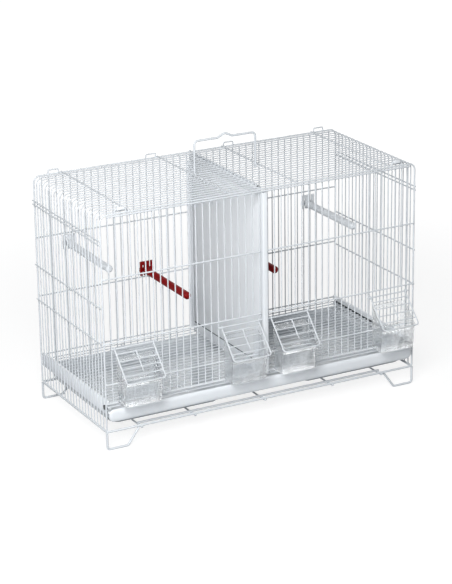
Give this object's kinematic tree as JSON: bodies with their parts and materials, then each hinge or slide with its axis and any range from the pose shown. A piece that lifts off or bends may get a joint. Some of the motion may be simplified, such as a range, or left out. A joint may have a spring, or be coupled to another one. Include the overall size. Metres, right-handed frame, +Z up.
{
  "type": "canary breeding cage",
  "caption": "White wire breeding cage in two compartments, with sliding divider, tray, floor grille, folding handle, perches and clear feeder cups under wire guards",
  "frame": {"origin": "on the floor, under the middle of the cage's body, between the feet", "axes": "+X along the length, towards the right side; +Y towards the rear, so the front is -Y; +Z up"},
  "size_m": [0.6064, 0.3182, 0.4752],
  "materials": {
    "coated_wire": "white powder coat on steel wire, slightly glossy",
    "rail_plastic": "extruded white plastic, satin",
    "white_plastic": "moulded white plastic, satin",
    "tray_plastic": "white plastic, glossy",
    "divider_plastic": "pale grey-white sheet, slightly translucent",
    "clear_plastic": "clear polystyrene, glossy",
    "red_plastic": "dark red moulded plastic, glossy",
    "plug_plastic": "black plastic"
  },
  "bodies": {
    "cage": {"base_front_wire": "coated_wire", "base_rear_wire": "coated_wire", "base_left_wire": "coated_wire", "base_right_wire": "coated_wire", "tray_supports": "coated_wire", "foot_front_left": "coated_wire", "foot_front_right": "coated_wire", "foot_rear_left": "coated_wire", "foot_rear_right": "coated_wire", "roof_mesh": "coated_wire", "left_side_mesh": "coated_wire", "right_side_mesh": "coated_wire", "rear_panel": "coated_wire", "front_panel_left": "coated_wire", "front_panel_right": "coated_wire", "front_top_wire": "coated_wire", "left_rail": "rail_plastic", "right_rail": "rail_plastic", "divider_top_guide": "white_plastic", "divider_rear_guide": "white_plastic", "rear_loops": "coated_wire", "front_loops": "coated_wire", "loop_sleeves": "white_plastic", "plugs": "plug_plastic", "red_perch_left_rod": "red_plastic", "red_perch_left_clip": "red_plastic", "red_perch_right_rod": "red_plastic", "red_perch_right_clip": "red_plastic", "white_perch_left_rod": "white_plastic", "white_perch_left_clip": "white_plastic", "white_perch_right_rod": "white_plastic", "white_perch_right_clip": "white_plastic"},
    "tray": {"tray": "tray_plastic"},
    "floor_grille": {"floor_grille": "coated_wire"},
    "divider": {"divider_sheet": "divider_plastic", "divider_grip": "white_plastic", "divider_bottom_edging": "white_plastic", "divider_top_edging": "white_plastic"},
    "handle": {"handle": "coated_wire"},
    "guard_1": {"guard_1": "coated_wire"},
    "guard_2": {"guard_2": "coated_wire"},
    "guard_3": {"guard_3": "coated_wire"},
    "guard_4": {"guard_4": "coated_wire"},
    "cup_1": {"cup_1": "clear_plastic"},
    "cup_2": {"cup_2": "clear_plastic"},
    "cup_3": {"cup_3": "clear_plastic"},
    "cup_4": {"cup_4": "clear_plastic"}
  },
  "joints": [
    {"name": "tray_slide", "type": "slide", "parent": "cage", "child": "tray", "axis": [0, -1, 0], "range_m": [0, 0.24]},
    {"name": "floor_grille_slide", "type": "slide", "parent": "cage", "child": "floor_grille", "axis": [0, 1, 0], "range_m": [-0.24, 0]},
    {"name": "divider_slide", "type": "slide", "parent": "cage", "child": "divider", "axis": [0, -1, 0], "range_m": [0, 0.24]},
    {"name": "handle_fold", "type": "hinge", "parent": "cage", "child": "handle", "pos_m": [0, 0, 0.408], "axis": [1, 0, 0], "range_deg": [-72, 72]},
    {"name": "guard_1_lift", "type": "hinge", "parent": "cage", "child": "guard_1", "pos_m": [-0.24691, -0.13395, 0.178], "axis": [-1, 0, 0], "range_deg": [0, 110]},
    {"name": "guard_2_lift", "type": "hinge", "parent": "cage", "child": "guard_2", "pos_m": [-0.04782, -0.13395, 0.178], "axis": [-1, 0, 0], "range_deg": [0, 110]},
    {"name": "guard_3_lift", "type": "hinge", "parent": "cage", "child": "guard_3", "pos_m": [0.04782, -0.13395, 0.178], "axis": [-1, 0, 0], "range_deg": [0, 110]},
    {"name": "guard_4_lift", "type": "hinge", "parent": "cage", "child": "guard_4", "pos_m": [0.24691, -0.13395, 0.178], "axis": [-1, 0, 0], "range_deg": [0, 110]},
    {"name": "cup_1_slide", "type": "slide", "parent": "cage", "child": "cup_1", "axis": [0, -1, 0], "range_m": [0, 0.008]},
    {"name": "cup_2_slide", "type": "slide", "parent": "cage", "child": "cup_2", "axis": [0, -1, 0], "range_m": [0, 0.008]},
    {"name": "cup_3_slide", "type": "slide", "parent": "cage", "child": "cup_3", "axis": [0, -1, 0], "range_m": [0, 0.008]},
    {"name": "cup_4_slide", "type": "slide", "parent": "cage", "child": "cup_4", "axis": [0, -1, 0], "range_m": [0, 0.008]}
  ]
}
